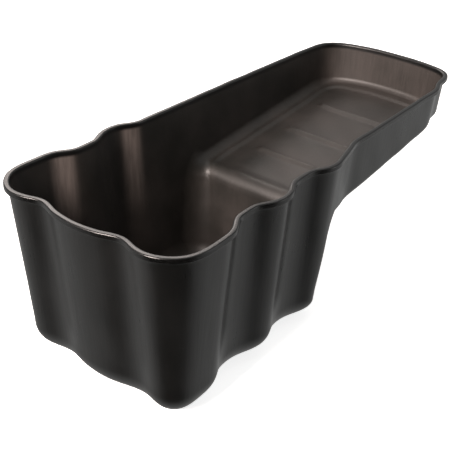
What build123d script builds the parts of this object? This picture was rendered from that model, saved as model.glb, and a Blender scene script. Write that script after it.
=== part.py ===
from build123d import *
import os
import numpy as np

os.makedirs("parts", exist_ok=True)

# ---------------------------------------------------------------------------
# Oil drain pan: one thermoformed polyethylene moulding.
# A deep bucket with lobed walls at one end, and a long shallow tray that
# reaches out from it at the same rim level and drains back into it.
# Origin: middle of the flat underside of the bucket. +X points along the tray.
# All dimensions in millimetres.
# ---------------------------------------------------------------------------

PAN_HEIGHT = 211.0        # underside of the bucket to the top of the rim
WALL = 2.6                # sheet thickness in the walls and tray
BASE_WALL = 4.0           # the bucket floor keeps more of the sheet
LIP_OVERHANG = 3.6        # lip edge beyond the outer wall face
LIP_HEIGHT = 5.8          # how far the lip turns down
LIP_ROUND = 1.8           # rounding of the lip's outer corners
DRAFT = 0.0792            # wall draft, run per depth (4.5 degrees)

TRAY_START_X = 150.0      # where the tray floor meets the step wall
TRAY_START_DEPTH = 85.0   # rim to tray floor at the step
TRAY_END_X = 443.0
TRAY_END_DEPTH = 53.5     # rim to tray floor at the far end
STEP_DRAFT = 0.128        # lean of the step wall, run per depth
BASE_ROUND = 20.0         # outside radius between walls and bucket floor
STEP_TOP_ROUND = 11.0     # rolled edge from the tray floor into the bucket

RIB_X = (224.0, 287.0, 363.0)   # three raised ribs across the tray floor
RIB_LENGTH = 124.0
RIB_WIDTH = 7.0
RIB_HEIGHT = 1.8

# Plan of the lip's outer edge, as distances along X and out from the middle.
# Both sides share the end wall and the first lobes.
BOTH_SIDES = [
    (-153.0, 0.0), (-152.5, 9.9), (-151.2, 21.1), (-149.2, 31.5), (-146.2, 40.5),
    (-143.8, 47.7), (-142.9, 53.5), (-143.8, 60.1), (-146.2, 67.0), (-148.5, 74.2),
    (-149.8, 82.3), (-149.8, 90.0), (-148.3, 97.7), (-144.9, 105.5), (-139.9, 112.7),
    (-133.4, 119.2), (-125.8, 124.7), (-117.0, 128.2), (-107.1, 130.0), (-94.5, 130.2),
    (-81.0, 129.9), (-71.1, 129.4), (-63.0, 127.8), (-55.8, 124.9), (-49.0, 120.7),
    (-42.3, 116.6), (-36.0, 114.8), (-27.9, 114.4), (-19.3, 114.4), (-11.7, 115.0),
    (-4.5, 118.1), (3.6, 122.2), (11.3, 124.9), (19.3, 126.2), (27.4, 126.2),
    (35.1, 124.5), (42.3, 121.4), (49.0, 117.5), (55.4, 114.9), (62.1, 113.8),
    (69.8, 113.6),
]
# The -Y side goes on with one more lobe, the straight tray side, a small jog
# inwards, and the corner.
LOBED_SIDE = [
    (80.1, 114.1), (87.8, 115.9), (95.9, 120.4), (104.4, 124.1), (113.2, 125.6),
    (122.2, 125.4), (130.9, 123.5), (139.9, 121.2), (148.5, 118.8), (157.0, 116.3),
    (165.6, 113.8), (173.7, 111.4), (182.7, 110.2), (191.7, 110.2), (204.8, 110.5),
    (225.0, 110.2), (247.5, 109.9), (274.5, 109.3), (301.5, 108.9), (328.5, 108.4),
    (351.0, 107.8), (371.2, 107.2), (380.7, 106.3), (389.2, 103.5), (397.4, 100.1),
    (406.4, 98.1), (414.9, 97.0), (423.9, 95.0), (432.0, 91.8), (439.7, 85.7),
    (445.1, 77.8), (448.7, 69.3), (450.9, 60.6), (452.6, 51.8), (454.1, 42.8),
    (455.0, 33.8), (455.9, 23.4), (456.4, 11.2), (456.7, 0.0),
]
# The +Y side runs straight from the second lobe to the corner.
PLAIN_SIDE = [
    (81.0, 113.2), (103.5, 112.7), (130.5, 112.3), (157.5, 111.7), (184.5, 111.2),
    (211.5, 110.6), (238.5, 109.8), (265.5, 109.0), (292.5, 108.2), (319.5, 107.4),
    (346.5, 106.6), (369.0, 105.8), (387.0, 105.1), (400.5, 104.3), (409.1, 103.5),
    (416.7, 102.2), (424.3, 99.7), (431.5, 95.4), (437.9, 89.1), (443.0, 81.0),
    (446.6, 73.1), (449.3, 64.8), (451.4, 55.8), (453.1, 46.8), (454.4, 37.8),
    (455.4, 28.9), (456.1, 18.9), (456.6, 9.0),
]


def dense_plan(count=1600):
    """The lip's outer edge as a closed, evenly spaced polyline."""
    loop = [(x, -y) for x, y in BOTH_SIDES + LOBED_SIDE]
    loop += [(x, y) for x, y in (BOTH_SIDES[1:] + PLAIN_SIDE)[::-1]]
    p = np.array(loop)
    # Catmull-Rom through the points
    a, b, c, d = np.roll(p, 1, 0), p, np.roll(p, -1, 0), np.roll(p, -2, 0)
    t = (np.arange(16) / 16.0)[:, None, None]
    q = 0.5 * ((2 * b) + (c - a) * t + (2 * a - 5 * b + 4 * c - d) * t ** 2
               + (3 * b - a - 3 * c + d) * t ** 3)
    q = np.transpose(q, (1, 0, 2)).reshape(-1, 2)
    q = np.vstack([q, q[:1]])
    s = np.r_[0, np.cumsum(np.hypot(*np.diff(q, axis=0).T))]
    u = np.linspace(0, s[-1], count, endpoint=False)
    return np.c_[np.interp(u, s, q[:, 0]), np.interp(u, s, q[:, 1])], s[-1] / count


def soften(p, length, step):
    """Gaussian smoothing of a closed polyline."""
    n = int(max(1, 3.5 * length / step))
    k = np.exp(-0.5 * (np.arange(-n, n + 1) * step / length) ** 2)
    k /= k.sum()
    ext = np.vstack([p[-n:], p, p[:n]])
    return np.c_[np.convolve(ext[:, 0], k, "valid"), np.convolve(ext[:, 1], k, "valid")]


NODES = 40                # points that the plan's arcs run between


def pick_nodes():
    """Where the plan is divided, closer together where it turns."""
    p, step = dense_plan()
    p = soften(p, 3.0, step)
    t = np.roll(p, -1, 0) - np.roll(p, 1, 0)
    t /= np.linalg.norm(t, axis=1)[:, None]
    turn = np.abs(t[:, 0] * np.roll(t[:, 1], -1) - t[:, 1] * np.roll(t[:, 0], -1))
    w = np.r_[0, np.cumsum(turn + 0.012 * step)]
    pick = np.interp(np.linspace(0, w[-1], NODES, endpoint=False), w, np.arange(len(w)))
    return pick.astype(int)


def plan_wire(inset, soft):
    """Draw the plan moved inwards by inset, as pairs of tangent arcs."""
    p, step = dense_plan()
    p = soften(p, soft, step)
    t = np.roll(p, -1, 0) - np.roll(p, 1, 0)
    t /= np.linalg.norm(t, axis=1)[:, None]
    p = p + np.c_[-t[:, 1], t[:, 0]] * inset
    p = soften(p, 0.5 * soft, step)
    t = np.roll(p, -1, 0) - np.roll(p, 1, 0)
    t /= np.linalg.norm(t, axis=1)[:, None]
    p, t = p[PICK], t[PICK]
    for k in range(NODES):
        p0, t0, p1, t1 = p[k], t[k], p[(k + 1) % NODES], t[(k + 1) % NODES]
        v = p1 - p0
        a, b = 2 * (1 - t0 @ t1), 2 * (v @ (t0 + t1))
        d = (v @ v) / b if a < 1e-9 else (-b + np.sqrt(b * b + 4 * a * (v @ v))) / (2 * a)
        c0, c1 = p0 + d * t0, p1 - d * t1
        q = (c0 + c1) / 2
        tm = (c1 - c0) / np.linalg.norm(c1 - c0)
        arc(p0, t0, q, tm)
        arc(q, tm, p1, t1)


def arc(p0, t0, p1, t1):
    """A tangent arc, or a line where the span is straight."""
    half = np.arctan2(t0[0] * t1[1] - t0[1] * t1[0], t0 @ t1) / 2
    tm = (t0 + t1) / np.linalg.norm(t0 + t1)
    sag = np.linalg.norm(p1 - p0) / 2 * np.tan(half / 2)
    mid = (p0 + p1) / 2 - np.array([-tm[1], tm[0]]) * sag
    p0, mid, p1 = [tuple(map(float, v)) for v in (p0, mid, p1)]
    if abs(sag) < 0.001:
        Line(p0, p1)
    else:
        ThreePointArc(p0, mid, p1)


PICK = pick_nodes()


SLOPE = (TRAY_START_DEPTH - TRAY_END_DEPTH) / (TRAY_END_X - TRAY_START_X)


def tray_floor_z(x):
    """Height of the tray floor's upper face at x."""
    return PAN_HEIGHT - TRAY_START_DEPTH + SLOPE * (x - TRAY_START_X)


def step_x(z):
    """Bucket-side face of the step wall at height z."""
    return TRAY_START_X - STEP_DRAFT * (tray_floor_z(TRAY_START_X) - z)


def form(top, inset, base, foot, soft=14.0):
    """Sections of a drawn form as (height, inset, softening)."""
    out = [(top, inset + DRAFT * (PAN_HEIGHT - top), 2.0)]
    for a in np.radians([0, 22.5, 45, 67.5, 90]):
        z = base + foot * (1 - np.sin(a))
        out.append((z, inset + DRAFT * (PAN_HEIGHT - z) + foot * (1 - np.cos(a)), soft))
    return out


def under_tray(skin, low):
    """Side view of everything under the tray and beyond the step wall."""
    z = tray_floor_z(TRAY_START_X) - skin
    far = TRAY_END_X + 60
    return [
        (step_x(low) + skin, low), (step_x(z) + skin, z),
        (far, tray_floor_z(far) - skin), (far, low - 30), (step_x(low) + skin, low - 30),
    ]


# Outer form: the whole plan drawn down to the base, then the space under the
# tray taken away.
with BuildPart() as outer:
    for z, inset, soft in form(PAN_HEIGHT - LIP_HEIGHT / 2, LIP_OVERHANG, 0.0, BASE_ROUND):
        with BuildSketch(Plane.XY.offset(z)):
            with BuildLine():
                plan_wire(inset, soft)
            make_face()
    loft(ruled=True)
    with BuildSketch(Plane.XZ) as side:
        with BuildLine():
            Polyline(*under_tray(WALL, -1.0), close=True)
        make_face()
        fillet(side.vertices().group_by(Axis.Y)[-2], STEP_TOP_ROUND)
    extrude(amount=200, both=True, mode=Mode.SUBTRACT)

# Hollow of the bucket and the tray.
with BuildPart() as hollow:
    for z, inset, soft in form(PAN_HEIGHT + 3, LIP_OVERHANG + WALL, BASE_WALL, BASE_ROUND - WALL):
        with BuildSketch(Plane.XY.offset(z)):
            with BuildLine():
                plan_wire(inset, soft)
            make_face()
    loft(ruled=True)
    with BuildSketch(Plane.XZ) as side:
        with BuildLine():
            Polyline(*under_tray(0.0, BASE_WALL - 1.0), close=True)
        make_face()
        fillet(side.vertices().group_by(Axis.Y)[-2], STEP_TOP_ROUND + WALL)
    extrude(amount=200, both=True, mode=Mode.SUBTRACT)

# Ribs standing on the sloped tray floor.
run = (1 + SLOPE ** 2) ** 0.5
with BuildPart() as ribs:
    for x in RIB_X:
        floor = Plane(origin=(x, 0, tray_floor_z(x)), x_dir=(1 / run, 0, SLOPE / run),
                      z_dir=(-SLOPE / run, 0, 1 / run))
        with BuildSketch(floor.offset(-WALL / 2)):
            SlotOverall(RIB_LENGTH, RIB_WIDTH, rotation=90)
        extrude(amount=WALL / 2 + RIB_HEIGHT)

# The pan: outer form with the lip around it, emptied, with the ribs added.
LIP = [
    (PAN_HEIGHT - LIP_HEIGHT, 0.0, 2.0),
    (PAN_HEIGHT - LIP_ROUND, 0.0, 2.0),
    (PAN_HEIGHT - 0.3 * LIP_ROUND, 0.3 * LIP_ROUND, 2.0),
    (PAN_HEIGHT, LIP_ROUND, 2.0),
]
with BuildPart() as drain_pan:
    add(outer.part)
    for z, inset, soft in LIP:
        with BuildSketch(Plane.XY.offset(z)):
            with BuildLine():
                plan_wire(inset, soft)
            make_face()
    loft(ruled=True)
    add(hollow.part, mode=Mode.SUBTRACT)
    add(ribs.part)

drain_pan.part.label = "drain_pan"
export_step(drain_pan.part, "parts/drain_pan.step")
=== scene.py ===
import math

import bpy
import numpy as np
from mathutils import Matrix, Vector


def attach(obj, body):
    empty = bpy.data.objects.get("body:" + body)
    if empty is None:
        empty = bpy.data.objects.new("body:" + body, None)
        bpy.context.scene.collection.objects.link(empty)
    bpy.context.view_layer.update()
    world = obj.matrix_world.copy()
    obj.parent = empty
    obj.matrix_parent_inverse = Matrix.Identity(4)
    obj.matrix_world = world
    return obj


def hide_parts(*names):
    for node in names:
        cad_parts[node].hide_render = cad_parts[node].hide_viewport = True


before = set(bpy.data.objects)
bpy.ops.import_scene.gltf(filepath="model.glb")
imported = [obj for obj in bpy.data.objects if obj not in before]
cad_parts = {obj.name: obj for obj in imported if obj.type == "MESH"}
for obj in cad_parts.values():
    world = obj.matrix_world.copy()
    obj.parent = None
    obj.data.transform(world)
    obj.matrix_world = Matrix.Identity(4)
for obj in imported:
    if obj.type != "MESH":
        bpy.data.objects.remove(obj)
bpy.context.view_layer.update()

# ---------------------------------------------------------------------------
# Oil drain pan, drawn as one continuous sheet. Working units are millimetres;
# depth t is measured down from the rim.
# ---------------------------------------------------------------------------
HEIGHT = 211.0
WALL = 2.6
BASE_WALL = 4.0
OVERHANG = 3.6
LIP_HEIGHT = 5.8
DRAFT = 0.0792
BUCKET_DEPTH = HEIGHT - BASE_WALL
STEP_X, STEP_DEPTH, STEP_LEAN = 150.0, 85.0, 0.128
SLOPE = (85.0 - 53.5) / (443.0 - 150.0)
RIDGE_ROUND = 14.0        # rolled edge from the tray into the bucket
STEP_FOOT = 22.0          # step wall to bucket floor
BUCKET_FOOT = 30.0        # side walls to bucket floor
UPRIGHT = 26.0            # step wall to side walls
TRAY_FOOT = 11.0          # tray side walls to tray floor
END_FOOT = 6.5            # end wall to the ledge
RIB_X = (224.0, 287.0, 363.0)
RIB_HALF = 62.0
SPINE_A, SPINE_B, SPINE_W = -72.0, 366.0, 16.0
WALL0 = OVERHANG + WALL   # inner wall's inset from the lip edge, at the rim

INNER_DARK = (0.0085, 0.0080, 0.0066, 1)
INNER_PALE = (0.0250, 0.0212, 0.0190, 1)
OUTER_DARK = (0.0016, 0.0016, 0.0015, 1)
OUTER_PALE = (0.0034, 0.0034, 0.0032, 1)
# painted highlight: colour of the inner bands and the end wall, standing in for the key light's sheen
PAINTED_SHEEN = (0.095, 0.080, 0.073, 1)                  # colour of the paler bands inside
SHEEN_BANDS = [
    # place in plan, full within, gone beyond, strength
    ((-0.0560, 0.1150, 0.0), 0.006, 0.019, 1.0),
    ((0.0455, 0.1100, 0.0), 0.005, 0.017, 1.0),
    ((0.1470, 0.0780, 0.0), 0.004, 0.013, 0.45),
]
ROUGH_IN = 0.40
ROUGH_OUT = 0.21

FLOOR_GLOW = 0.80
SKY_LOW, SKY_MID, SKY_HIGH = 0.42, 0.68, 0.45     # brightness below, at and above the horizon
SHADE = 0.03                                      # what is left of it on the darker side
DARK_SIDE = (-0.79, -0.61, 0.0)                   # the unlit side of the studio
LIGHTS = [
    # name, place, aim, size, watts, colour
    ("key_box", (-1.65, 0.15, 1.40), (0.15, 0, 0.1), (0.9, 0.9), 120.0, (1.0, 0.87, 0.81)),
    ("back_box", (1.10, 1.60, 1.55), (0.2, 0, 0.1), (1.3, 1.0), 24.0, (1.0, 0.90, 0.85)),
    ("top_box", (0.25, 0.0, 2.4), (0.15, 0, 0.1), (1.6, 1.6), 6.0, (1.0, 0.97, 0.95)),
    ("right_box", (1.3, -2.0, 0.7), (0.1, 0, 0.1), (0.7, 1.4), 4.0, (1.0, 1.0, 1.0)),
]

# Plan of the lip's outer edge, as distances along X and out from the middle.
BOTH_SIDES = [
    (-153.0, 0.0), (-152.5, 9.9), (-151.2, 21.1), (-149.2, 31.5), (-146.2, 40.5),
    (-143.8, 47.7), (-142.9, 53.5), (-143.8, 60.1), (-146.2, 67.0), (-148.5, 74.2),
    (-149.8, 82.3), (-149.8, 90.0), (-148.3, 97.7), (-144.9, 105.5), (-139.9, 112.7),
    (-133.4, 119.2), (-125.8, 124.7), (-117.0, 128.2), (-107.1, 130.0), (-94.5, 130.2),
    (-81.0, 129.9), (-71.1, 129.4), (-63.0, 127.8), (-55.8, 124.9), (-49.0, 120.7),
    (-42.3, 116.6), (-36.0, 114.8), (-27.9, 114.4), (-19.3, 114.4), (-11.7, 115.0),
    (-4.5, 118.1), (3.6, 122.2), (11.3, 124.9), (19.3, 126.2), (27.4, 126.2),
    (35.1, 124.5), (42.3, 121.4), (49.0, 117.5), (55.4, 114.9), (62.1, 113.8),
    (69.8, 113.6),
]
# The -Y side goes on with one more lobe, the straight tray side, a small jog
# inwards, and the corner.
LOBED_SIDE = [
    (80.1, 114.1), (87.8, 115.9), (95.9, 120.4), (104.4, 124.1), (113.2, 125.6),
    (122.2, 125.4), (130.9, 123.5), (139.9, 121.2), (148.5, 118.8), (157.0, 116.3),
    (165.6, 113.8), (173.7, 111.4), (182.7, 110.2), (191.7, 110.2), (204.8, 110.5),
    (225.0, 110.2), (247.5, 109.9), (274.5, 109.3), (301.5, 108.9), (328.5, 108.4),
    (351.0, 107.8), (371.2, 107.2), (380.7, 106.3), (389.2, 103.5), (397.4, 100.1),
    (406.4, 98.1), (414.9, 97.0), (423.9, 95.0), (432.0, 91.8), (439.7, 85.7),
    (445.1, 77.8), (448.7, 69.3), (450.9, 60.6), (452.6, 51.8), (454.1, 42.8),
    (455.0, 33.8), (455.9, 23.4), (456.4, 11.2), (456.7, 0.0),
]
# The +Y side runs straight from the second lobe to the corner.
PLAIN_SIDE = [
    (81.0, 113.2), (103.5, 112.7), (130.5, 112.3), (157.5, 111.7), (184.5, 111.2),
    (211.5, 110.6), (238.5, 109.8), (265.5, 109.0), (292.5, 108.2), (319.5, 107.4),
    (346.5, 106.6), (369.0, 105.8), (387.0, 105.1), (400.5, 104.3), (409.1, 103.5),
    (416.7, 102.2), (424.3, 99.7), (431.5, 95.4), (437.9, 89.1), (443.0, 81.0),
    (446.6, 73.1), (449.3, 64.8), (451.4, 55.8), (453.1, 46.8), (454.4, 37.8),
    (455.4, 28.9), (456.1, 18.9), (456.6, 9.0),
]

def dense_plan(count=2600):
    """The lip's outer edge as a closed, evenly spaced polyline."""
    loop = [(x, -y) for x, y in BOTH_SIDES + LOBED_SIDE]
    loop += [(x, y) for x, y in (BOTH_SIDES[1:] + PLAIN_SIDE)[::-1]]
    p = np.array(loop)
    a, b, c, d = np.roll(p, 1, 0), p, np.roll(p, -1, 0), np.roll(p, -2, 0)
    t = (np.arange(16) / 16.0)[:, None, None]
    q = 0.5 * ((2 * b) + (c - a) * t + (2 * a - 5 * b + 4 * c - d) * t ** 2
               + (3 * b - a - 3 * c + d) * t ** 3)
    q = np.transpose(q, (1, 0, 2)).reshape(-1, 2)
    return even(q, count)


def even(q, count):
    q = np.vstack([q, q[:1]])
    s = np.r_[0, np.cumsum(np.hypot(*np.diff(q, axis=0).T))]
    u = np.linspace(0, s[-1], count, endpoint=False)
    return np.c_[np.interp(u, s, q[:, 0]), np.interp(u, s, q[:, 1])], s[-1] / count


def soften(p, length, step):
    """Gaussian smoothing of a closed polyline."""
    if length <= 0:
        return p
    n = int(max(1, math.ceil(3.5 * length / step)))
    k = np.exp(-0.5 * (np.arange(-n, n + 1) * step / length) ** 2)
    k /= k.sum()
    ext = np.vstack([p[-n:], p, p[:n]])
    return np.c_[np.convolve(ext[:, 0], k, "valid"), np.convolve(ext[:, 1], k, "valid")]


def smoothstep(x, a, b):
    t = np.clip((x - a) / (b - a), 0.0, 1.0)
    return t * t * (3 - 2 * t)


# --- the wall family: the plan moved in step by step, softer further down ----
INSETS = np.arange(0.0, 56.0, 1.0)


def family():
    p, step = dense_plan()
    p = soften(p, 1.3, step)
    out = [p]
    sigma = lambda s: np.interp(s, [0, 6, 22, 42, 60], [1.3, 3.2, 7.5, 14.0, 20.0])
    for a, b in zip(INSETS[:-1], INSETS[1:]):
        t = np.roll(p, -1, 0) - np.roll(p, 1, 0)
        t /= np.linalg.norm(t, axis=1)[:, None]
        p = p + np.c_[-t[:, 1], t[:, 0]] * (b - a)
        p = soften(p, math.sqrt(sigma(b) ** 2 - sigma(a) ** 2), step)
        p, step = even(p, len(p))
        out.append(p)
    return out


FAMILY = family()


def spread(a, b, count_at, extra):
    """Points from a to b: spacing count_at, closer where extra says so."""
    g = np.linspace(a, b, 6000)
    w = np.full(len(g), 1.0 / count_at)
    for x0, x1, sp, soft in extra:
        w += (1.0 / sp) * 0.5 * (np.tanh((g - x0) / soft) - np.tanh((g - x1) / soft))
    c = np.r_[0, np.cumsum((w[1:] + w[:-1]) / 2 * np.diff(g))]
    n = int(round(c[-1]))
    return np.interp(np.linspace(0, c[-1], n + 1), c, g)


def rays():
    """Straight paths in plan from the middle ladder out to the rim, as (origin, direction)."""
    rim = FAMILY[0]
    near = rim[rim[:, 1] < 0]
    xs = spread(SPINE_A, SPINE_B, 3.0,
                [(118.0, 168.0, 1.3, 5.0)] + [(x - 9.0, x + 6.0, 1.2, 2.0) for x in RIB_X])

    def fan(cx, sign, spacing):
        ang = np.arctan2(-near[:, 1], sign * (near[:, 0] - cx))
        rad = np.hypot(near[:, 0] - cx, near[:, 1])
        keep = (ang >= -0.02) & (ang <= math.pi / 2 + 0.02)
        ang, rad = ang[keep], rad[keep]
        o = np.argsort(ang)
        ang, rad = ang[o], rad[o]
        a = np.linspace(0, math.pi / 2, 1500)
        r = np.interp(a, ang, rad)
        s = np.r_[0, np.cumsum(np.hypot(np.diff(r), (r[1:] + r[:-1]) / 2 * np.diff(a)))]
        n = int(round(s[-1] / spacing))
        return np.interp(np.linspace(0, s[-1], n + 1), s, a)

    ends_a = fan(SPINE_A, -1.0, 2.6)      # from the -X axis to the near side
    ends_b = fan(SPINE_B, 1.0, 2.6)[::-1]  # from the near side to the +X axis
    org, dirs = [], []
    for a in ends_a[:-1]:
        org.append((SPINE_A, 0.0)), dirs.append((-math.cos(a), -math.sin(a)))
    for x in xs:
        org.append((x, 0.0)), dirs.append((0.0, -1.0))
    for a in ends_b[1:]:
        org.append((SPINE_B, 0.0)), dirs.append((math.cos(a), -math.sin(a)))
    org, dirs = np.array(org), np.array(dirs)
    far_o, far_d = org[1:-1][::-1], dirs[1:-1][::-1] * [1.0, -1.0]
    return np.vstack([org, far_o]), np.vstack([dirs, far_d]), len(org)


ORG, DIR, HALF = rays()
COLS = len(ORG)


def reach(curve):
    """Distance from each ray's origin to a closed curve."""
    out = np.empty(COLS)
    for side in (-1.0, 1.0):
        c = curve[curve[:, 1] * side > -6.0]
        mine = (DIR[:, 1] * side > 1e-9) | ((np.abs(DIR[:, 1]) <= 1e-9) & (side < 0))
        up = np.abs(DIR[:, 0]) < 1e-9
        m = mine & up
        o = np.argsort(c[:, 0])
        mid = c[o]
        mid = mid[(mid[:, 0] > SPINE_A - 14) & (mid[:, 0] < SPINE_B + 14)]
        mid = mid[np.abs(mid[:, 1]) > SPINE_W * 1.2]
        out[m] = np.abs(np.interp(ORG[m, 0], mid[:, 0], mid[:, 1]))
        for cx, sign in ((SPINE_A, -1.0), (SPINE_B, 1.0)):
            m = mine & ~up & (np.abs(ORG[:, 0] - cx) < 1e-6)
            e = c[(c[:, 0] - cx) * sign > -8.0]
            ang = np.arctan2(e[:, 1] * side, sign * (e[:, 0] - cx))
            rad = np.hypot(e[:, 0] - cx, e[:, 1])
            o = np.argsort(ang)
            want = np.arctan2(DIR[m, 1] * side, sign * DIR[m, 0])
            out[m] = np.interp(want, ang[o], rad[o])
    return out


REACH = np.array([reach(c) for c in FAMILY])          # inset x column
REACH = np.minimum.accumulate(REACH, axis=0)


def place(col, inset):
    """Plan position of an inset along a column."""
    k = np.clip(inset / (INSETS[1] - INSETS[0]), 0, len(INSETS) - 1.000001)
    i = k.astype(int)
    f = k - i
    rho = REACH[i, col] * (1 - f) + REACH[i + 1, col] * f
    return rho


# --- the hollow, as a field that is positive inside it ------------------------
def rmin(p, q, r):
    a, b = np.maximum(r - p, 0.0), np.maximum(r - q, 0.0)
    return np.where((p < r) & (q < r), r - np.sqrt(a * a + b * b), np.minimum(p, q))


def panel(x, y):
    """1 inside the tray's lowered panel, 0 on the ledge round it."""
    d_end = 431.0 - 11.0 * (y / 85.0) ** 2 - x
    d_side = np.interp(x, [150, 190, 300, 400, 460], [87.0, 85.5, 82.0, 80.5, 80.0]) - np.abs(y)
    d_head = (x - 158.0) * 0.30
    return rmin(rmin(d_end, d_side, 22.0), d_head, 9.0)


def rib(x, y, x0):
    """Height of a rib with rounded ends across the panel."""
    dx = x - (x0 + 0.02 * y)
    end = 1.0 - smoothstep(np.abs(y), RIB_HALF - 9.0, RIB_HALF + 1.0)
    return 3.0 * end * smoothstep(dx, -8.0, 0.5) * (1.0 - smoothstep(dx, 1.0, 5.0))


def tray_depth(x, y, detail):
    t = STEP_DEPTH - (x - STEP_X) * SLOPE
    if not detail:
        return t
    d = panel(x, y)
    t = t + 2.6 * smoothstep(d, -1.0, 5.5) - 0.4
    for x0 in RIB_X:
        t = t - rib(x, y, x0)
    return t


def field(b, x, y, t, detail):
    """b is the inset from the wall at depth t."""
    h1 = (tray_depth(x, y, detail) - t) * 0.994
    a = (STEP_X - STEP_LEAN * (t - STEP_DEPTH) - x) * 0.992
    low = rmin(a, BUCKET_DEPTH - t, STEP_FOOT)
    g = -rmin(-h1, -low, RIDGE_ROUND)
    r = TRAY_FOOT + (END_FOOT - TRAY_FOOT) * smoothstep(x, 396.0, 430.0) \
        + (UPRIGHT - TRAY_FOOT) * smoothstep(-x, -166.0, -140.0) \
        + (BUCKET_FOOT - UPRIGHT) * smoothstep(t, 120.0, 190.0) * smoothstep(-x, -150.0, -120.0)
    return rmin(b, g, r)


def surface(inset, x, y, detail):
    """Depth of the inner surface at an inset from the lip edge."""
    lo, hi = np.zeros_like(x), np.full_like(x, HEIGHT + 5.0)
    for _ in range(34):
        mid = (lo + hi) / 2
        b = (inset - WALL0 - DRAFT * mid) * 0.997
        inside = field(b, x, y, mid, detail) > 0
        lo, hi = np.where(inside, mid, lo), np.where(inside, hi, mid)
    return (lo + hi) / 2


def loop_rho():
    """The middle ladder's edge: SPINE_W out from the spine."""
    return np.full(COLS, SPINE_W)


ROWS = 141
UNDER_ROWS = 81
STARTS = 3.2              # depth at which the wall leaves the lip's rounding


def profiles(detail):
    """Inner surface points, row 0 at the lip and the last row at the ladder."""
    col = np.arange(COLS)
    s0 = WALL0 + DRAFT * STARTS
    fine = np.r_[np.arange(s0, 26.0, 0.05), np.arange(26.0, 50.0, 0.2)]
    tail = np.linspace(0, 1, 90)[1:]
    rho = [place(col, np.full(COLS, s)) for s in fine]
    rho = np.array(rho)
    ins = np.repeat(fine[:, None], COLS, 1)
    last, end = rho[-1], loop_rho()
    tail_rho = last[None, :] + (end - last)[None, :] * tail[:, None]
    tail_ins = fine[-1] + (last[None, :] - tail_rho)
    rho, ins = np.vstack([rho, tail_rho]), np.vstack([ins, tail_ins])
    x = ORG[:, 0] + DIR[:, 0] * rho
    y = ORG[:, 1] + DIR[:, 1] * rho
    t = surface(ins, x, y, detail)
    return rho, ins, t


def rows_from(rho, t, guide_rho, guide_t, rows, start):
    """Resample every column at the same fractions of length and turning, from depth start inwards."""
    out_r = np.empty((rows, COLS))
    out_t = np.empty((rows, COLS))
    dr, dt = np.diff(guide_rho, axis=0), np.diff(guide_t, axis=0)
    seg = np.hypot(dr, dt)
    ang = np.arctan2(dt, -dr)
    turn = np.abs(np.diff(ang, axis=0))
    turn = np.vstack([turn, turn[-1:]])
    L = np.cumsum(seg, 0) / seg.sum(0)
    K = np.cumsum(turn, 0)
    K = K / K[-1]
    W = 0.62 * L + 0.38 * K
    W = np.vstack([np.zeros(COLS), W])
    for j in range(COLS):
        frac = np.linspace(np.interp(start, guide_t[:, j], W[:, j]), 1, rows)
        q = np.interp(frac, W[:, j], np.arange(len(W)))
        out_r[:, j] = np.interp(q, np.arange(len(W)), rho[:, j])
        out_t[:, j] = np.interp(q, np.arange(len(W)), t[:, j])
    return out_r, out_t


def wander(p):
    """Slow unevenness of a drawn sheet: both faces move together."""
    rng = np.random.default_rng(7)
    out = np.zeros_like(p)
    for _ in range(26):
        w = rng.normal(0, 1, 3) * 2.2 / rng.uniform(24, 75)
        way = rng.normal(0, 1, 3)
        out += np.outer(np.sin(p @ w + rng.uniform(0, 6.28)), way) * 0.045
    calm = smoothstep(p[:, 2], 1.0, 12.0)[:, None]
    return p + out * calm


RUNGS = 14


def ladder_points(detail):
    """Points inside the middle ladder, between near column j and far column COLS - j."""
    pts, js = [], np.arange(1, HALF - 1)
    nx = ORG[js, 0] + DIR[js, 0] * SPINE_W
    ny = ORG[js, 1] + DIR[js, 1] * SPINE_W
    for k in range(1, RUNGS):
        f = k / RUNGS
        x, y = nx, ny * (1 - 2 * f)
        t = surface(np.full_like(x, 400.0), x, y, detail)
        pts.append(np.c_[x, y, HEIGHT - t])
    return np.array(pts)           # (RUNGS - 1, HALF - 2, 3)


def sheet(detail, rows, start):
    rho, ins, t = profiles(True) if detail else PLAIN
    r, d = rows_from(rho, t, PLAIN[0], PLAIN[2], rows, start)
    x = ORG[:, 0] + DIR[:, 0] * r
    y = ORG[:, 1] + DIR[:, 1] * r
    return np.stack([x, y, HEIGHT - d], -1), ladder_points(detail)


def ring_faces(rows, first=0):
    """Quads between neighbouring rows of COLS points each."""
    j = np.arange(COLS)
    jn = (j + 1) % COLS
    return np.vstack([np.c_[i * COLS + j, i * COLS + jn, (i + 1) * COLS + jn, (i + 1) * COLS + j]
                      for i in range(rows - 1)]) + first


def ladder_faces(edge, base):
    """Quads and end triangles that close a ring of COLS points starting at edge."""
    n = HALF - 2
    near = edge + np.arange(1, HALF - 1)
    far = edge + COLS - np.arange(1, HALF - 1)
    table = np.array([near] + [base + k * n + np.arange(n) for k in range(RUNGS - 1)] + [far])
    quads = [np.c_[table[k, :-1], table[k, 1:], table[k + 1, 1:], table[k + 1, :-1]]
             for k in range(RUNGS)]
    tris = [(edge, table[k, 0], table[k + 1, 0]) for k in range(RUNGS)]
    tris += [(edge + HALF - 1, table[k + 1, -1], table[k, -1]) for k in range(RUNGS)]
    return np.vstack(quads), np.array(tris)


def normals_of(v, quads, tris):
    n = np.zeros_like(v)
    d1, d2 = v[quads[:, 2]] - v[quads[:, 0]], v[quads[:, 3]] - v[quads[:, 1]]
    c = np.cross(d1, d2)
    for k in range(4):
        for ax in range(3):
            n[:, ax] += np.bincount(quads[:, k], c[:, ax], len(v))
    c = np.cross(v[tris[:, 1]] - v[tris[:, 0]], v[tris[:, 2]] - v[tris[:, 0]])
    for k in range(3):
        for ax in range(3):
            n[:, ax] += np.bincount(tris[:, k], c[:, ax], len(v))
    return n / np.maximum(np.linalg.norm(n, axis=1), 1e-12)[:, None]


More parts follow.
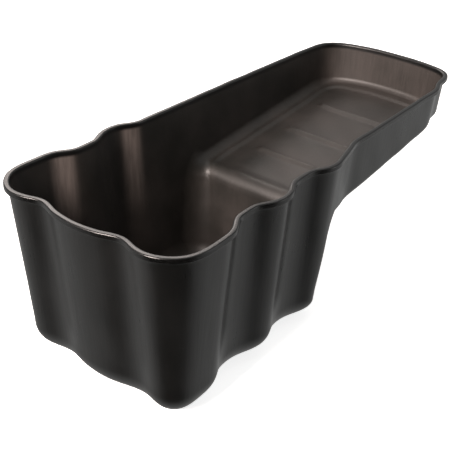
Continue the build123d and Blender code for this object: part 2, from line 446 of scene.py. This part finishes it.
def arc_pts(cs, ct, r, a0, a1, n):
    a = np.radians(np.linspace(a0, a1, n))
    return [(cs + r * math.cos(q), ct + r * math.sin(q)) for q in a]


PLAIN = profiles(False)
top_grid, top_lad = sheet(True, ROWS, STARTS)
low_grid, low_lad = sheet(False, UNDER_ROWS, 7.7)

# underside: the plain sheet moved out by its thickness
flat = np.vstack([low_grid.reshape(-1, 3), low_lad.reshape(-1, 3)])
edge = (UNDER_ROWS - 1) * COLS
lq, lt = ladder_faces(edge, UNDER_ROWS * COLS)
nrm = normals_of(flat, np.vstack([ring_faces(UNDER_ROWS), lq]), lt)
if nrm[UNDER_ROWS * COLS:, 2].mean() < 0:
    nrm = -nrm
# the first row has only its inner neighbours, so it takes the next row's
nrm[:COLS] = nrm[COLS:2 * COLS]
thick = WALL + (BASE_WALL - WALL) * smoothstep(HEIGHT - flat[:, 2], 165.0, BUCKET_DEPTH - 1.0)
under = flat - nrm * thick[:, None]
under[:, 2] = np.maximum(under[:, 2], 0.0)
under_grid = under[:UNDER_ROWS * COLS].reshape(UNDER_ROWS, COLS, 3)
under_lad = under[UNDER_ROWS * COLS:]

# lip profile as (inset, depth), from the inner wall over the rim to the outer wall
lip = arc_pts(WALL0 - 2.05, 2.15, 2.15, 0, -82, 8)
lip += [(3.2, -0.03), (2.2, 0.02)]
lip += arc_pts(1.65, 1.65, 1.65, -88, -180, 8)
lip += [(-0.05, 3.0), (-0.1, 4.2)]
lip += arc_pts(0.55, 5.15, 0.65, 180, 90, 4)
lip += [(1.6, 5.8), (2.6, 5.8)]
lip += arc_pts(2.75, 6.95, 1.15, -88, -15, 4)
cols = np.arange(COLS)


def lip_row(s, t):
    """One ring of the lip. Insets below zero stand outside the plan."""
    rho = place(cols, np.full(COLS, max(s, 0.0))) - min(s, 0.0)
    return np.stack([ORG[:, 0] + DIR[:, 0] * rho, ORG[:, 1] + DIR[:, 1] * rho,
                     np.full(COLS, HEIGHT - t)], -1)


lip_rows = np.array([lip_row(s, t) for s, t in lip])

# one closed skin: underside from its middle outwards, lip, inside to its middle
rings = np.vstack([under_grid[::-1], lip_rows[::-1], top_grid])
total = len(rings)
verts = np.vstack([rings.reshape(-1, 3), under_lad.reshape(-1, 3), top_lad.reshape(-1, 3)])
q_ring = ring_faces(total)
n_lad = len(under_lad.reshape(-1, 3))
q_low, t_low = ladder_faces(0, total * COLS)
q_top, t_top = ladder_faces((total - 1) * COLS, total * COLS + n_lad)
quads = np.vstack([q_ring, q_low[:, ::-1], q_top])
tris = np.vstack([t_low[:, ::-1], t_top])
vol = 0.0
for f in (quads[:, [0, 1, 2]], quads[:, [0, 2, 3]], tris):
    vol += np.einsum("ij,ij->i", verts[f[:, 0]], np.cross(verts[f[:, 1]], verts[f[:, 2]])).sum() / 6
if vol < 0:
    quads, tris = quads[:, ::-1], tris[:, ::-1]
print("sheet volume litres", abs(vol) / 1e6, "faces", len(quads) + len(tris))
verts = wander(verts)
verts[:, 2] = np.maximum(verts[:, 2], 0.0)


def make_mesh(name, v, q, t):
    me = bpy.data.meshes.new(name)
    me.vertices.add(len(v))
    me.vertices.foreach_set("co", (v / 1000.0).astype(np.float32).ravel())
    loops = np.concatenate([q.ravel(), t.ravel()])
    sizes = np.r_[np.full(len(q), 4), np.full(len(t), 3)]
    me.loops.add(len(loops))
    me.loops.foreach_set("vertex_index", loops.astype(np.int32))
    me.polygons.add(len(sizes))
    me.polygons.foreach_set("loop_start", np.r_[0, np.cumsum(sizes)[:-1]].astype(np.int32))
    me.polygons.foreach_set("use_smooth", np.ones(len(sizes), bool))
    me.update(calc_edges=True)
    me.validate()
    ob = bpy.data.objects.new(name, me)
    bpy.context.scene.collection.objects.link(ob)
    return ob


pan = make_mesh("drain_pan_sheet", verts, quads, tris)
# how far each point counts as the inside: 0 on the outer face, 1 on the inner
inner = np.zeros(len(verts))
n_out = UNDER_ROWS * COLS
n_lip = len(lip_rows) * COLS
inner[n_out:n_out + n_lip] = np.repeat(np.linspace(0, 1, len(lip_rows)), COLS)
inner[n_out + n_lip:total * COLS] = 1.0
inner[total * COLS + n_lad:] = 1.0
att = pan.data.attributes.new("inside", "FLOAT", "POINT")
att.data.foreach_set("value", inner.astype(np.float32))


# --- material: black polyethylene, satin from the mould ------------------------
def node(tree, kind, at=(0, 0), **props):
    n = tree.nodes.new(kind)
    n.location = at
    for k, v in props.items():
        setattr(n, k, v)
    return n


def black_sheet():
    mat = bpy.data.materials.new("black_polyethylene")
    mat.use_nodes = True
    t = mat.node_tree
    t.nodes.clear()
    L = t.links.new
    out = node(t, "ShaderNodeOutputMaterial", (1200, 0))
    bsdf = node(t, "ShaderNodeBsdfPrincipled", (900, 0))
    L(bsdf.outputs[0], out.inputs[0])
    co = node(t, "ShaderNodeTexCoord", (-1400, 0))
    obj = co.outputs["Object"]

    # streaks where the sheet was drawn down the mould
    stretch = node(t, "ShaderNodeMapping", (-1200, 300))
    stretch.inputs["Scale"].default_value = (260.0, 260.0, 7.0)
    L(obj, stretch.inputs[0])
    streak = node(t, "ShaderNodeTexNoise", (-1000, 300))
    streak.inputs["Scale"].default_value = 1.0
    streak.inputs["Detail"].default_value = 4.0
    streak.inputs["Roughness"].default_value = 0.6
    L(stretch.outputs[0], streak.inputs["Vector"])

    # broad cloudiness of the surface
    cloud = node(t, "ShaderNodeTexNoise", (-1000, 0))
    cloud.inputs["Scale"].default_value = 14.0
    cloud.inputs["Detail"].default_value = 5.0
    cloud.inputs["Roughness"].default_value = 0.55
    L(obj, cloud.inputs["Vector"])

    # fine grain
    grain = node(t, "ShaderNodeTexNoise", (-1000, -300))
    grain.inputs["Scale"].default_value = 900.0
    grain.inputs["Detail"].default_value = 3.0
    L(obj, grain.inputs["Vector"])

    # dust specks
    speck = node(t, "ShaderNodeTexVoronoi", (-1000, -600))
    speck.inputs["Scale"].default_value = 95.0
    speck.inputs["Randomness"].default_value = 1.0
    L(obj, speck.inputs["Vector"])
    dot = node(t, "ShaderNodeMapRange", (-800, -600))
    dot.inputs["From Min"].default_value = 0.045
    dot.inputs["From Max"].default_value = 0.02
    L(speck.outputs["Distance"], dot.inputs["Value"])
    some = node(t, "ShaderNodeMapRange", (-800, -850))
    some.inputs["From Min"].default_value = 0.60
    some.inputs["From Max"].default_value = 0.72
    L(cloud.outputs["Fac"], some.inputs["Value"])
    dust = node(t, "ShaderNodeMath", (-600, -650), operation="MULTIPLY")
    L(dot.outputs[0], dust.inputs[0])
    L(some.outputs[0], dust.inputs[1])

    # height above the floor picks out the lip
    sep = node(t, "ShaderNodeSeparateXYZ", (-1200, -150))
    L(obj, sep.inputs[0])
    lipm = node(t, "ShaderNodeMapRange", (-1000, -150))
    lipm.inputs["From Min"].default_value = 0.2035
    lipm.inputs["From Max"].default_value = 0.2065
    L(sep.outputs["Z"], lipm.inputs["Value"])

    side = node(t, "ShaderNodeAttribute", (-1000, 600), attribute_name="inside")
    inside = side.outputs["Fac"]

    # the inner face is duller and a little brown, the outer face blacker
    tin = node(t, "ShaderNodeMix", (-300, 500), data_type="RGBA")
    tin.inputs["A"].default_value = INNER_DARK
    tin.inputs["B"].default_value = INNER_PALE
    cl = node(t, "ShaderNodeMapRange", (-500, 450))
    cl.inputs["From Min"].default_value = 0.32
    cl.inputs["From Max"].default_value = 0.68
    L(cloud.outputs["Fac"], cl.inputs["Value"])
    L(cl.outputs[0], tin.inputs["Factor"])
    # painted highlights: paler upright bands on the inner walls, listed in plan, standing in for the
    # key light's sheen on the lobes' flanks; paler upright bands on the inner walls, placed by eye;
    # what makes them pale is a guess
    flat = node(t, "ShaderNodeCombineXYZ", (-1000, 800))
    L(sep.outputs["X"], flat.inputs["X"])
    L(sep.outputs["Y"], flat.inputs["Y"])
    total = None
    for k, (place, near_r, far_r, top) in enumerate(SHEEN_BANDS):
        away = node(t, "ShaderNodeVectorMath", (-800, 800 + 180 * k), operation="DISTANCE")
        L(flat.outputs[0], away.inputs[0])
        away.inputs[1].default_value = place
        ring = node(t, "ShaderNodeMapRange", (-600, 800 + 180 * k), interpolation_type="SMOOTHSTEP")
        for name, v in (("From Min", near_r), ("From Max", far_r), ("To Min", top), ("To Max", 0.0)):
            ring.inputs[name].default_value = v
        L(away.outputs["Value"], ring.inputs["Value"])
        if total is None:
            total = ring.outputs[0]
        else:
            both = node(t, "ShaderNodeMath", (-400, 800 + 180 * k), operation="ADD")
            L(total, both.inputs[0])
            L(ring.outputs[0], both.inputs[1])
            total = both.outputs[0]
    fade = node(t, "ShaderNodeMapRange", (-600, 1500), interpolation_type="SMOOTHSTEP")
    fade.inputs["From Min"].default_value = 0.080
    fade.inputs["From Max"].default_value = 0.185
    L(sep.outputs["Z"], fade.inputs["Value"])
    low_fade = node(t, "ShaderNodeMath", (-200, 900), operation="MULTIPLY")
    L(total, low_fade.inputs[0])
    L(fade.outputs[0], low_fade.inputs[1])
    # painted sheen: the inner face of the tray's end wall made paler where the key light falls on it
    end_wall_sheen = node(t, "ShaderNodeMapRange", (-600, 1700), interpolation_type="SMOOTHSTEP")
    end_wall_sheen.inputs["From Min"].default_value = 0.405
    end_wall_sheen.inputs["From Max"].default_value = 0.445
    end_wall_sheen.inputs["To Max"].default_value = 0.28
    L(sep.outputs["X"], end_wall_sheen.inputs["Value"])
    paler = node(t, "ShaderNodeMath", (-50, 900), operation="ADD")
    L(low_fade.outputs[0], paler.inputs[0])
    L(end_wall_sheen.outputs[0], paler.inputs[1])
    comb = node(t, "ShaderNodeMapRange", (-200, 1100))
    for name, v in (("From Min", 0.30), ("From Max", 0.70), ("To Min", 0.55), ("To Max", 1.15)):
        comb.inputs[name].default_value = v
    L(streak.outputs["Fac"], comb.inputs["Value"])
    # painted highlight amount, streaked along the draw lines
    sheen_mix = node(t, "ShaderNodeMath", (100, 900), operation="MULTIPLY", use_clamp=True)
    L(paler.outputs[0], sheen_mix.inputs[0])
    L(comb.outputs[0], sheen_mix.inputs[1])
    tin2 = node(t, "ShaderNodeMix", (-150, 500), data_type="RGBA")
    L(sheen_mix.outputs[0], tin2.inputs["Factor"])
    L(tin.outputs["Result"], tin2.inputs["A"])
    tin2.inputs["B"].default_value = PAINTED_SHEEN
    tout = node(t, "ShaderNodeMix", (-300, 250), data_type="RGBA")
    tout.inputs["A"].default_value = OUTER_DARK
    tout.inputs["B"].default_value = OUTER_PALE
    L(cl.outputs[0], tout.inputs["Factor"])
    col = node(t, "ShaderNodeMix", (0, 300), data_type="RGBA")
    L(inside, col.inputs["Factor"])
    L(tout.outputs["Result"], col.inputs["A"])
    L(tin2.outputs["Result"], col.inputs["B"])
    blk = node(t, "ShaderNodeMix", (150, 300), data_type="RGBA")
    L(lipm.outputs[0], blk.inputs["Factor"])
    L(col.outputs["Result"], blk.inputs["A"])
    blk.inputs["B"].default_value = OUTER_DARK
    col2 = node(t, "ShaderNodeMix", (300, 300), data_type="RGBA")
    L(dust.outputs[0], col2.inputs["Factor"])
    L(blk.outputs["Result"], col2.inputs["A"])
    col2.inputs["B"].default_value = (0.11, 0.10, 0.09, 1)
    L(col2.outputs["Result"], bsdf.inputs["Base Color"])

    # roughness: duller inside, glossier on the lip, clouded and streaked
    base = node(t, "ShaderNodeMapRange", (0, 0))
    base.inputs["To Min"].default_value = ROUGH_OUT
    base.inputs["To Max"].default_value = ROUGH_IN
    L(inside, base.inputs["Value"])
    r1 = node(t, "ShaderNodeMath", (150, 0), operation="MULTIPLY_ADD")
    L(cl.outputs[0], r1.inputs[0])
    r1.inputs[1].default_value = 0.07
    L(base.outputs[0], r1.inputs[2])
    calm = node(t, "ShaderNodeMath", (0, -150), operation="SUBTRACT")
    calm.inputs[0].default_value = 1.0
    L(lipm.outputs[0], calm.inputs[1])
    stk = node(t, "ShaderNodeMath", (150, -150), operation="MULTIPLY")
    L(streak.outputs["Fac"], stk.inputs[0])
    L(calm.outputs[0], stk.inputs[1])
    r2 = node(t, "ShaderNodeMath", (300, 0), operation="MULTIPLY_ADD")
    L(stk.outputs[0], r2.inputs[0])
    r2.inputs[1].default_value = 0.12
    L(r1.outputs[0], r2.inputs[2])
    r3 = node(t, "ShaderNodeMath", (450, 0), operation="MULTIPLY_ADD")
    L(lipm.outputs[0], r3.inputs[0])
    r3.inputs[1].default_value = -0.05
    L(r2.outputs[0], r3.inputs[2])
    L(r3.outputs[0], bsdf.inputs["Roughness"])
    bsdf.inputs["IOR"].default_value = 1.5

    b1 = node(t, "ShaderNodeBump", (400, -300))
    b1.inputs["Strength"].default_value = 0.35
    b1.inputs["Distance"].default_value = 0.0004
    L(stk.outputs[0], b1.inputs["Height"])
    b2 = node(t, "ShaderNodeBump", (600, -300))
    b2.inputs["Strength"].default_value = 0.12
    b2.inputs["Distance"].default_value = 0.0001
    L(grain.outputs["Fac"], b2.inputs["Height"])
    L(b1.outputs[0], b2.inputs["Normal"])
    L(b2.outputs[0], bsdf.inputs["Normal"])
    return mat


pan.data.materials.append(black_sheet())
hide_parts("drain_pan")
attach(pan, "root")

# --- floor, lights, camera --------------------------------------------------------
me = bpy.data.meshes.new("studio_floor")
s = 9.0
me.from_pydata([(-s, -s, 0), (s, -s, 0), (s, s, 0), (-s, s, 0)], [], [(0, 1, 2, 3)])
floor = bpy.data.objects.new("studio_floor", me)
bpy.context.scene.collection.objects.link(floor)
fm = bpy.data.materials.new("pale_floor")
fm.use_nodes = True
fb = fm.node_tree.nodes["Principled BSDF"]
fb.inputs["Base Color"].default_value = (0.86, 0.86, 0.86, 1)
fb.inputs["Roughness"].default_value = 0.9
fb.inputs["Specular IOR Level"].default_value = 0.1
fb.inputs["Emission Color"].default_value = (1, 1, 1, 1)
fb.inputs["Emission Strength"].default_value = FLOOR_GLOW
floor.data.materials.append(fm)
floor.visible_glossy = False

scene = bpy.context.scene
scene.view_settings.view_transform = "Standard"
world = bpy.data.worlds.new("studio")
scene.world = world
world.use_nodes = True
wt = world.node_tree
wt.nodes.clear()
wo = node(wt, "ShaderNodeOutputWorld", (600, 0))
bg = node(wt, "ShaderNodeBackground", (400, 0))
bg.inputs["Color"].default_value = (1.0, 1.0, 0.985, 1)
wc = node(wt, "ShaderNodeTexCoord", (-800, 0))
ws = node(wt, "ShaderNodeSeparateXYZ", (-600, 0))
wt.links.new(wc.outputs["Generated"], ws.inputs[0])
low = node(wt, "ShaderNodeMapRange", (-400, 100), interpolation_type="SMOOTHSTEP")
for k, v in (("From Min", -0.75), ("From Max", -0.05), ("To Min", SKY_LOW), ("To Max", SKY_MID)):
    low.inputs[k].default_value = v
wt.links.new(ws.outputs["Z"], low.inputs["Value"])
high = node(wt, "ShaderNodeMapRange", (-400, -150), interpolation_type="SMOOTHSTEP")
for k, v in (("From Min", 0.0), ("From Max", 0.35), ("To Min", 1.0), ("To Max", SKY_HIGH / SKY_MID)):
    high.inputs[k].default_value = v
wt.links.new(ws.outputs["Z"], high.inputs["Value"])
sky = node(wt, "ShaderNodeMath", (-200, 0), operation="MULTIPLY")
wt.links.new(low.outputs[0], sky.inputs[0])
wt.links.new(high.outputs[0], sky.inputs[1])
dot = node(wt, "ShaderNodeVectorMath", (-600, -350), operation="DOT_PRODUCT")
dot.inputs[1].default_value = DARK_SIDE
wt.links.new(wc.outputs["Generated"], dot.inputs[0])
dim = node(wt, "ShaderNodeMapRange", (-400, -400), interpolation_type="SMOOTHSTEP")
for k, v in (("From Min", 0.12), ("From Max", 0.62), ("To Min", 1.0), ("To Max", SHADE)):
    dim.inputs[k].default_value = v
wt.links.new(dot.outputs["Value"], dim.inputs["Value"])
lit = node(wt, "ShaderNodeMath", (0, 0), operation="MULTIPLY")
wt.links.new(sky.outputs[0], lit.inputs[0])
wt.links.new(dim.outputs[0], lit.inputs[1])
wt.links.new(lit.outputs[0], bg.inputs["Strength"])
wt.links.new(bg.outputs[0], wo.inputs[0])


def softbox(name, at, aim, size, power, color=(1, 1, 1)):
    li = bpy.data.lights.new(name, "AREA")
    li.shape = "RECTANGLE"
    li.size, li.size_y = size
    li.energy = power
    li.color = color
    ob = bpy.data.objects.new(name, li)
    scene.collection.objects.link(ob)
    ob.location = at
    ob.rotation_euler = (Vector(aim) - Vector(at)).to_track_quat("-Z", "Y").to_euler()
    return ob


for spec in LIGHTS:
    softbox(*spec)

FOCAL, CX, CY = 939.827, 231.719, 224.091        # pixels in a 450 x 450 frame
right = Vector((0.62105285, -0.78343126, 0.02299595))
up = Vector((0.38520032, 0.33065086, 0.86156295))
ahead = Vector((0.68257898, 0.52621808, -0.50712963))
cam_data = bpy.data.cameras.new("camera")
cam_data.sensor_width = 36.0
cam_data.lens = FOCAL / 450.0 * 36.0
cam_data.shift_x = (225.0 - CX) / 450.0
cam_data.shift_y = (CY - 225.0) / 450.0
cam_data.dof.use_dof = False
cam = bpy.data.objects.new("camera", cam_data)
scene.collection.objects.link(cam)
m = Matrix((right, up, -ahead)).transposed().to_4x4()
m.translation = Vector((-0.6615, -0.583463, 0.661))
cam.matrix_world = m
scene.camera = cam
